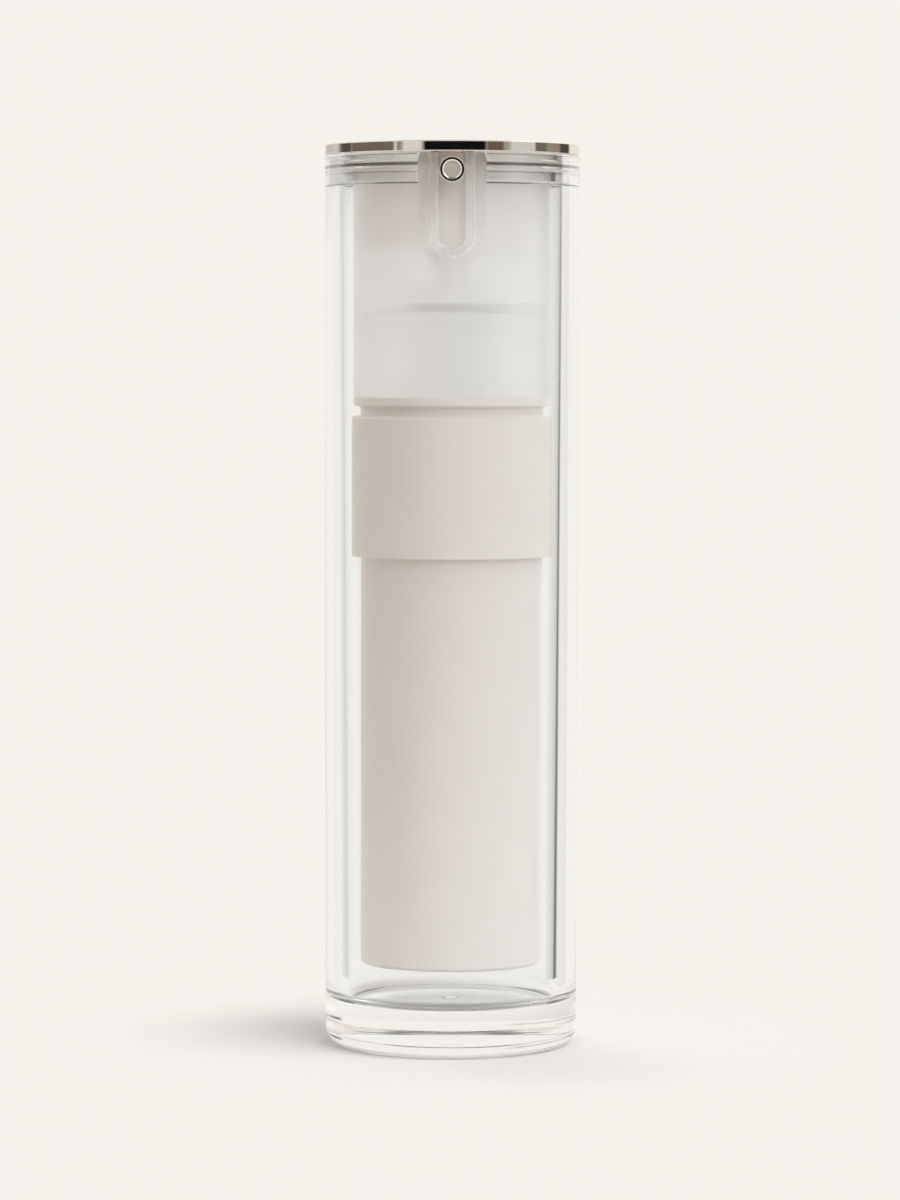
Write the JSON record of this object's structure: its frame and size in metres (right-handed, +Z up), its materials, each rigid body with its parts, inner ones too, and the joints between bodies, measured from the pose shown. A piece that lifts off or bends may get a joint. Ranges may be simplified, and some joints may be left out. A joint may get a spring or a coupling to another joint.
{
  "type": "airless pump bottle",
  "caption": "Clear double-walled airless pump bottle with a polished trim ring, push button, side nozzle in a U-shaped slot and a hanging white refill.",
  "frame": {"origin": "middle of the foot, on the surface that the bottle stands on", "axes": "+Z up along the bottle, -Y out of the nozzle, +X to the right as seen from the nozzle"},
  "size_m": [0.036, 0.036, 0.127],
  "materials": {
    "clear_acrylic": "clear moulded plastic, polished",
    "polished_metal": "mirror-polished",
    "frosted_plastic": "milky translucent, slightly blurred",
    "white_plastic": "white, satin gloss",
    "soft_seal": "soft, matte",
    "valve_rubber": "grey-beige, matte",
    "natural_plastic": "natural, uncoloured, satin",
    "seal_plastic": "soft natural plastic",
    "steel": "drawn stainless wire and ball"
  },
  "bodies": {
    "case": {"outer_case": "clear_acrylic"},
    "refill": {"trim_ring": "polished_metal", "shoulder_ring": "clear_acrylic", "slot_liner": "clear_acrylic", "guide_tube": "frosted_plastic", "pump_shell": "frosted_plastic", "closure": "white_plastic", "neck_gasket": "soft_seal", "pump_housing": "natural_plastic", "ball_retainer": "natural_plastic", "inner_bottle": "white_plastic", "return_spring": "steel"},
    "button": {"button_cap": "polished_metal", "actuator": "frosted_plastic", "nozzle_ring": "polished_metal", "nozzle_tip": "valve_rubber", "stem": "natural_plastic", "pump_piston": "seal_plastic", "spring_cap": "natural_plastic"},
    "follower": {"follower_piston": "seal_plastic"},
    "ball": {"inlet_ball": "steel"}
  },
  "joints": [
    {"name": "refill_lift", "type": "slide", "parent": "case", "child": "refill", "axis": [0, 0, 1], "range_m": [0, 0.125]},
    {"name": "button_press", "type": "slide", "parent": "refill", "child": "button", "axis": [0, 0, -1], "range_m": [0, 0.0075], "stiffness_N_per_m": 800, "springref_m": -0.003, "deforming": ["return_spring"]},
    {"name": "follower_rise", "type": "slide", "parent": "refill", "child": "follower", "axis": [0, 0, 1], "range_m": [0, 0.062]},
    {"name": "inlet_ball_lift", "type": "slide", "parent": "refill", "child": "ball", "axis": [0, 0, 1], "range_m": [0, 0.0008]}
  ]
}
